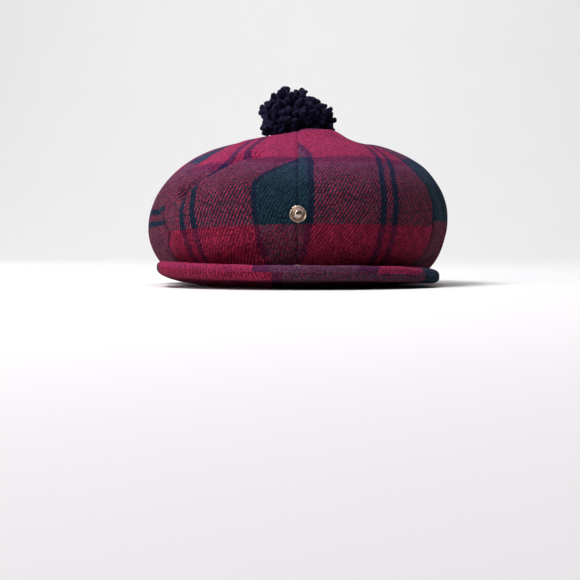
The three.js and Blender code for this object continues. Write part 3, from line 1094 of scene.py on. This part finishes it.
@dataclass
class Peak:
    """The thick stiffened peak: a top cloth and an under cloth that meet in the edge seam."""

    band: Headband
    reach: float = 49.0
    spread: float = math.radians(77)
    end_power: float = 4.6
    thickness: float = 11.2
    thin_end: float = 0.4
    full_width: float = 14.4
    edge_radius: float = 6.0
    edge_share: float = 0.8
    end_rounding: float = 1.2
    root_height: float = 6.2
    edge_height: float = 12.6
    arch: float = 0.3
    side_drop: float = 0.6
    warp: float = 9.0
    seam_gap: float = 0.02
    groove: float = 0.7
    cloth: float = 1.6
    columns: int = 220
    flat_rows: int = 22
    round_rows: int = 16
    lip_rows: int = 5
    lip_step: float = 0.9
    cloth_lean: float = 0.3
    cut: Pair = (107.0, 165.0)
    floats: Pair = (0.24, 0.7)
    lumps: tuple[Triple, ...] = ((0.45, 21.0, 5.0), (0.2, 7.0, 1.5))

    def width(self, along: Rows) -> Rows:
        """How far the peak reaches from the band, along running from -1 to 1 over its length."""
        return self.reach * np.sqrt(np.maximum(1 - np.abs(along) ** self.end_power, 1e-6))

    def root(self, along: Rows) -> tuple[Rows, Rows]:
        """Finds where the peak is sewn to the band.

        Args:
            along: Places along the peak, -1 to 1.

        Returns:
            Points on the band in millimetres, and the directions away from it.
        """
        azimuth = self.spread * along
        wide, long = self.band.half_width + self.band.gap, self.band.half_length + self.band.gap
        points = np.stack([wide * np.sin(azimuth), -long * np.cos(azimuth), 0 * azimuth], -1)
        away = points / np.array([wide**2, long**2, 1.0])
        away /= np.linalg.norm(away, axis=-1, keepdims=True)
        points[..., 1] += self.band.middle
        return points, away

    def place(self, along: Rows, distance: Rows, rise: Rows) -> Rows:
        """Finds points near the peak's middle surface.

        Args:
            along: Places along the peak, -1 to 1.
            distance: Distances out of the band, in millimetres.
            rise: Heights over the middle surface, in millimetres.

        Returns:
            Array of places in millimetres.
        """
        root, away = self.root(along)
        out = distance / self.reach
        edge = self.edge_height - self.side_drop * along**2
        slope = out * (1 + self.arch * (1 - out))
        height = self.root_height + (edge - self.root_height) * slope
        points = root + away * distance[..., None]
        points[..., 2] = height + rise - self.warp * along * np.abs(along) * out**2
        return points

    def _section(self, along: Rows) -> tuple[Rows, Rows]:
        """Draws one cloth's section from the band to the edge seam.

        Args:
            along: Places along the peak, -1 to 1.

        Returns:
            Distances from the band and heights over the middle, a row for each step.
        """
        width = self.width(along)
        stout = self.thin_end + (1 - self.thin_end) * np.minimum(1, width / self.full_width)
        half = self.thickness / 2 * stout
        blunt = self.edge_radius * (1 + self.end_rounding * np.abs(along) ** 6)
        radius = np.minimum(blunt, width * self.edge_share)
        distances, rises = [], []
        for share in np.linspace(0, 1, self.flat_rows, endpoint=False):
            distances.append(share * (width - radius))
            rises.append(half + 0 * width)
        for turn in np.linspace(0, math.pi / 2, self.round_rows + 1):
            pinch = self.groove * smooth_step(np.float64(turn), 0.9, math.pi / 2)
            distances.append(width - radius * (1 - math.sin(turn)) - pinch)
            rises.append(self.seam_gap + (half - self.seam_gap) * math.cos(turn))
        for _ in range(self.lip_rows):
            distances.append(distances[-1] - self.lip_step)
            rises.append(self.seam_gap + 0 * width)
        return np.array(distances), np.array(rises)

    def half(self, face: PeakFace, material: Material) -> Piece:
        """Builds the top or the under cloth.

        Args:
            face: Which one.
            material: Its tartan.

        Returns:
            The piece.
        """
        line = 0.9985 * np.sin(np.linspace(-math.pi / 2, math.pi / 2, self.columns + 1))
        distance, rise = self._section(line)
        along = np.broadcast_to(line, distance.shape)
        points = self.place(along, distance, face.value * rise)
        (high, wide, seed), (low, narrow, other) = self.lumps
        soft = high * cloth_noise(points, wide, seed * face.value)
        soft += low * cloth_noise(points, narrow, other)
        away = smooth_step(distance, 3, 12) * smooth_step(rise, self.seam_gap, 3)
        points[..., 2] += soft * away
        root, out = self.root(along)
        reached = arc_lengths(points, 0, 0)
        flat = root + out * reached[..., None]
        cloth = flat[..., :2] + np.array(self.cut)
        cloth[..., 1] += self.cloth_lean * flat[..., 0]
        mesh = mapped_grid(self.columns, distance.shape[0] - 1, points, cloth)
        if sum(f.normal.z * f.calc_area() for f in mesh.faces) * face.value < 0:
            bmesh.ops.reverse_faces(mesh, faces=mesh.faces)
        node = f"peak_{face.name.lower()}"
        piece = new_piece(f"{node}_cloth", mesh, material, [node])
        wall(piece, self.cloth)
        return piece

    def build(self) -> list[Piece]:
        """Builds and dresses the peak.

        Returns:
            The pieces.
        """
        # The top cloth is napped all over and lightened by the nap's painted sheen; the under cloth
        # has only the least nap and painted sheen.
        sides = (
            (PeakFace.TOP, PEAK_TOP_WARP, (-400.0, 200.0)),
            (PeakFace.UNDER, PEAK_UNDER_WARP, (300.0, 400.0)),
        )
        pieces = []
        for face, warp, nap_sheen_heights in sides:
            name = f"peak_{face.name.lower()}_tartan"
            finish = TartanFinish(name, warp, PEAK_WEFT, floats=self.floats, nap_sheen_heights=nap_sheen_heights)
            pieces.append(self.half(face, finish.build()))
        return pieces


# ---- press stud


STUD_PROFILE = (
    (0, -3.5), (4.8, -3.5), (5.0, -3.3), (5.0, -2.9), (4.8, -2.7), (1.6, -2.7), (1.6, 0.2),
    (5.9, 0.2), (6.2, 0.45), (6.25, 0.9), (6.1, 1.3), (5.8, 1.5), (5.45, 1.48), (5.05, 1.22),
    (4.6, 0.82), (4.0, 0.58), (3.1, 0.52), (2.5, 0.6), (2.2, 0.85), (2.1, 1.3), (2.15, 1.8),
    (2.5, 2.15), (2.72, 2.5), (2.7, 2.95), (2.4, 3.3), (1.8, 3.52), (0.9, 3.62), (0, 3.64),
)
SOCKET_PROFILE = (
    (0, -3.0), (1.6, -3.0), (1.6, 0.35), (6.0, 0.35), (6.2, 0.5), (6.1, 0.85), (5.1, 1.15),
    (4.8, 1.7), (4.5, 2.0), (3.7, 2.05), (3.3, 1.85), (3.1, 1.3), (3.0, 0.9), (0, 0.9),
)


@dataclass
class PressStud:
    """The stud on the front seam and its mate on the peak, turned from nickel-plated brass."""

    crown: Crown
    peak: Peak
    from_edge: float = 28.0
    turns: int = 64

    def _turned(
        self,
        names: tuple[str, str],
        profile: Sequence[Pair],
        seat: tuple[Vector, Vector],
        finish: Material,
    ) -> Piece:
        """Spins a profile round the way out of the cloth.

        Args:
            names: The piece's name and the CAD node's.
            profile: Radii and heights above the cloth, from the axis round to the axis again.
            seat: The place on the cloth in millimetres, and the way out of it.
            finish: The metal.

        Returns:
            The piece.
        """
        mesh = bmesh.new()
        line = [mesh.verts.new((radius * MM, 0, height * MM)) for radius, height in profile]
        for pair in zip(line, line[1:]):
            mesh.edges.new(pair)
        bmesh.ops.spin(
            mesh,
            geom=[*mesh.verts, *mesh.edges],
            cent=(0, 0, 0),
            axis=(0, 0, 1),
            angle=math.tau,
            steps=self.turns,
            use_merge=True,
        )
        bmesh.ops.remove_doubles(mesh, verts=mesh.verts, dist=0.005 * MM)
        bmesh.ops.recalc_face_normals(mesh, faces=mesh.faces)
        point, out = seat
        turn = out.to_track_quat("Z", "Y").to_matrix().to_4x4()
        bmesh.ops.transform(mesh, matrix=Matrix.Translation(point * MM) @ turn, verts=mesh.verts)
        return new_piece(names[0], mesh, finish, [names[1]])

    def build(self) -> list[Piece]:
        """Builds and dresses the two turned pieces.

        Returns:
            The pieces.
        """
        finish = MetalFinish("stud_nickel").build()
        front, waist = np.array([0.0]), np.array([0.5])
        on_crown = tuple(Vector(of(front, waist)[0]) for of in (self.crown.plain, self.crown.normal))
        half = self.peak.thickness / 2
        corners = [(0.0, 0.0), (0.0, 1.0), (0.01, 0.0)]
        distance = self.peak.reach - self.from_edge
        at, ahead, aside = (
            Vector(self.peak.place(np.array([along]), np.array([distance + more]), half)[0])
            for along, more in corners
        )
        on_peak = (at, (ahead - at).cross(aside - at).normalized())
        return [
            self._turned(("press_stud", "snap_stud"), STUD_PROFILE, on_crown, finish),
            self._turned(("press_socket", "snap_socket"), SOCKET_PROFILE, on_peak, finish),
        ]


# ---- pompom


@dataclass
class Pompom:
    """A ball of twisted yarn ends round a core. Sizes in millimetres."""

    ends: int = 240
    patterns: int = 10
    thickness: float = 5.8
    thickness_spread: Pair = (0.82, 1.15)
    length_spread: Pair = (0.42, 0.6)  # of the radius
    steps: int = 13
    ply_points: int = 8
    waist: float = 0.16  # how far the two plies' section is drawn in between them
    twist: float = 0.75
    bend: float = 0.5
    curl: Pair = (0.8, 2.2)
    tip_sizes: Triple = (1.0, 0.93, 0.72)
    reach: Pair = (0.95, 0.035)  # of the ends' tips, and how much it varies
    clump_reach: float = 0.17
    slope: float = 0.2  # how much lower the ball is on the wearer's left
    farthest: float = 1.12
    covered: float = 1.78  # of the ball's height of 2 has ends
    scatter: float = 0.12
    lean: Triple = (1.4, 0.38, 0.7)  # outward, at random and by clump
    least_outward: float = 0.5
    clump_size: float = 2.6
    core: tuple[Pair, ...] = ((0.1, 3.1), (0.05, 9.0))
    core_radius: float = 0.74
    seed: int = 3
    middle: Vector = field(init=False)
    radius: float = field(init=False)
    half_height: float = 24.0
    clump_shifts: tuple[Vector, ...] = (Vector((0, 0, 0)), Vector((31, 0, 0)), Vector((0, 47, 0)))

    def __post_init__(self) -> None:
        """Reads the pompom's place and size from its solid."""
        low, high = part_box("pompom")
        self.radius = (high[0] - low[0]) / 2 / MM
        top = high[2] / MM
        across, along = ((low[axis] + high[axis]) / 2 / MM for axis in (0, 1))
        self.middle = Vector((across, along, top - self.half_height))

    def _end(self, draw: random.Random) -> bpy.types.Mesh:
        """Makes one yarn end of two twisted plies, along +Z and one unit long.

        Args:
            draw: The random numbers.

        Returns:
            A mesh to copy.
        """
        mesh = bmesh.new()
        made = bmesh.ops.create_circle(mesh, segments=self.ply_points, radius=0.5, cap_ends=True)
        loop = made["verts"]
        for vertex in loop:
            angle = math.atan2(vertex.co.y, vertex.co.x)
            vertex.co *= 1 - self.waist + self.waist * math.cos(2 * angle)
        bend = Vector((draw.uniform(-1, 1), draw.uniform(-1, 1), 0)) * self.bend
        curl = draw.uniform(*self.curl)
        face = mesh.faces[:][0]
        before = Vector((0, 0, 0))
        for step in range(1, self.steps + 1):
            share = step / self.steps
            grown = bmesh.ops.extrude_discrete_faces(mesh, faces=[face])
            face = grown["faces"][0]
            sway = math.sin(share * curl) * share
            arc = share**2
            place = Vector((bend.x * arc - bend.y * sway, bend.y * arc + bend.x * sway, share))
            size = self.tip_sizes[max(0, step - self.steps + 2)]
            spin = Matrix.Rotation(self.twist, 4, "Z")
            centre = Matrix.Translation(-before)
            matrix = Matrix.Translation(place) @ spin @ Matrix.Scale(size, 4) @ centre
            bmesh.ops.transform(mesh, matrix=matrix, verts=face.verts[:])
            before = place
        bmesh.ops.remove_doubles(mesh, verts=mesh.verts, dist=1e-5)
        data = bpy.data.meshes.new("yarn_end")
        mesh.to_mesh(data)
        mesh.free()
        return data

    def _direction(self, number: int, draw: random.Random) -> Vector:
        """Spreads the ends evenly over the ball, shaken a little.

        Args:
            number: Which end.
            draw: The random numbers.

        Returns:
            Its direction.
        """
        height = 1 - self.covered * (number + 0.5) / self.ends
        turn = number * math.pi * (3 - math.sqrt(5))
        flat = math.sqrt(1 - height * height)
        place = Vector((flat * math.cos(turn), flat * math.sin(turn), height))
        return (place + self._shake(draw, self.scatter)).normalized()

    @staticmethod
    def _shake(draw: random.Random, spread: float) -> Vector:
        """A random move, spread its standard deviation each way."""
        return Vector([draw.gauss(0, spread) for _ in range(3)])

    def _core(self) -> Mesh:
        """Makes the dense middle of the ball.

        Returns:
            The mesh, in metres.
        """
        mesh = bmesh.new()
        bmesh.ops.create_icosphere(mesh, subdivisions=4, radius=1.0)
        for vertex in mesh.verts:
            lumps = sum(height * noise.noise(vertex.co * often) for height, often in self.core)
            vertex.co = self._stretched(vertex.co * (self.core_radius + lumps))
        return mesh

    def _stretched(self, place: Vector) -> Vector:
        """A place in the unit ball brought to the pompom's own, in metres."""
        size = Vector((self.radius, self.radius, self.half_height))
        return (self.middle + Vector(map(float.__mul__, place, size))) * MM

    def build(self) -> Piece:
        """Builds and dresses the pompom.

        Returns:
            The piece.
        """
        draw = random.Random(self.seed)
        patterns = [self._end(draw) for _ in range(self.patterns)]
        mesh = self._core()
        for number in range(self.ends):
            direction = self._direction(number, draw)
            spot = direction * self.clump_size
            clump = Vector([noise.noise(spot + shift) for shift in self.clump_shifts])
            length = draw.uniform(*self.length_spread) * self.radius * MM
            reach = draw.gauss(*self.reach) + self.clump_reach * clump.x
            reach -= self.slope * direction.x * max(0, direction.z)
            tip = self._stretched(direction * min(reach, self.farthest))
            start = len(mesh.verts)
            mesh.from_mesh(draw.choice(patterns))
            mesh.verts.ensure_lookup_table()
            grown = mesh.verts[start:]
            thick = self.thickness * draw.uniform(*self.thickness_spread) * MM
            outward, astray, by_clump = self.lean
            shake = self._shake(draw, astray)
            lean = (outward * direction + shake + by_clump * clump).normalized()
            if lean.dot(direction) < self.least_outward:
                lean = direction
            turn = lean.to_track_quat("Z", "Y").to_matrix().to_4x4()
            spin = Matrix.Rotation(draw.uniform(0, math.tau), 4, "Z")
            size = Matrix.Diagonal((thick, thick, length, 1))
            place = Matrix.Translation(tip - lean * length)
            bmesh.ops.transform(mesh, matrix=place @ turn @ spin @ size, verts=grown)
        bmesh.ops.recalc_face_normals(mesh, faces=mesh.faces)
        finish = YarnFinish("pompom_yarn").build()
        return new_piece("pompom_yarn_ball", mesh, finish, ["pompom"])


# ---- studio


@dataclass(frozen=True)
class Lamp:
    """A soft square light: its place and side in metres, watts, colour and what it faces."""

    name: str
    place: Triple
    side: float
    power: float
    tint: Colour = (1.0, 1.0, 1.0)
    target: Triple = (0.0, 0.0, 0.06)


LAMPS = (
    Lamp("overhead", (-0.75, -0.4, 1.5), 0.7, 27, (1.0, 0.96, 1.0)),
    Lamp("front", (-1.5, -1.5, 0.7), 1.0, 13, (1.0, 0.99, 1.0)),
    Lamp("backdrop", (0, 1.2, 3.2), 2.4, 80, target=(0, 3.0, 0.6)),
)


@dataclass
class Studio:
    """The plain floor and backdrop, the soft lights and the camera. Sizes in metres."""

    half_floor: float = 6.0
    sweep_start: float = 1.6
    sweep_radius: float = 1.4
    eye_distance: float = 1.2
    eye_height: float = 0.035
    aim: Triple = (-0.0064, 0.0, -0.0046)
    lens: float = 93.1
    room_light: float = 0.03
    sweep_steps: int = 24

    def backdrop(self) -> Piece:
        """Builds the floor that turns up into a wall behind the cap.

        Returns:
            The backdrop.
        """
        mesh = bmesh.new()
        left = -self.half_floor
        edge = [Vector((left, left, 0))]
        for step in range(self.sweep_steps + 1):
            turn = math.pi / 2 * step / self.sweep_steps
            back, up = (self.sweep_radius * part for part in (math.sin(turn), 1 - math.cos(turn)))
            edge.append(Vector((left, self.sweep_start + back, up)))
        edge.append(edge[-1] + Vector((0, 0, self.half_floor)))
        vertices = [mesh.verts.new(place) for place in edge]
        edges = [mesh.edges.new(pair) for pair in zip(vertices, vertices[1:])]
        grown = bmesh.ops.extrude_edge_only(mesh, edges=edges)
        moved = [item for item in grown["geom"] if isinstance(item, bmesh.types.BMVert)]
        bmesh.ops.translate(mesh, verts=moved, vec=(2 * self.half_floor, 0, 0))
        bmesh.ops.recalc_face_normals(mesh, faces=mesh.faces)
        data = bpy.data.meshes.new("backdrop")
        mesh.to_mesh(data)
        mesh.free()
        data.shade_smooth()
        data.materials.append(PlainFinish("paper").build())
        piece = bpy.data.objects.new("backdrop", data)
        bpy.context.scene.collection.objects.link(piece)
        return piece

    @staticmethod
    def light(row: Lamp) -> None:
        """Adds one light.

        Args:
            row: The light.
        """
        data = bpy.data.lights.new(row.name, "AREA")
        data.size = row.side
        data.energy = row.power
        data.color = row.tint
        lamp = bpy.data.objects.new(row.name, data)
        bpy.context.scene.collection.objects.link(lamp)
        lamp.location = row.place
        lamp.rotation_mode = "QUATERNION"
        away = Vector(row.place) - Vector(row.target)
        lamp.rotation_quaternion = away.to_track_quat("Z", "Y")

    def camera(self) -> None:
        """Stands the camera in front of the peak, just above the floor."""
        data = bpy.data.cameras.new("eye")
        data.lens = self.lens
        data.clip_start, data.clip_end = 0.05, 40
        eye = bpy.data.objects.new("eye", data)
        bpy.context.scene.collection.objects.link(eye)
        eye.location = (0, -self.eye_distance, self.eye_height)
        away = eye.location - Vector(self.aim)
        eye.rotation_mode = "QUATERNION"
        eye.rotation_quaternion = away.to_track_quat("Z", "Y")
        bpy.context.scene.camera = eye

    def build(self) -> None:
        """Sets up the whole studio."""
        self.backdrop()
        self.camera()
        for row in LAMPS:
            self.light(row)
        world = bpy.data.worlds.new("room")
        world.use_nodes = True
        background = world.node_tree.nodes["Background"]
        background.inputs["Color"].default_value = (1, 1, 1, 1)
        background.inputs["Strength"].default_value = self.room_light
        bpy.context.scene.world = world
        bpy.context.scene.view_settings.view_transform = "Standard"


def main() -> None:
    """Builds the cap and its studio."""
    logging.basicConfig(level=logging.INFO, format="%(name)s: %(message)s")
    Studio().build()
    band = Headband()
    crown, peak = Crown(band), Peak(band)
    stud = PressStud(crown, peak)
    pieces = [band.build(), *crown.build(), *peak.build(), *stud.build(), Pompom().build()]
    LOG.info("%d pieces", len(pieces))


if __name__ == "__main__":
    main()
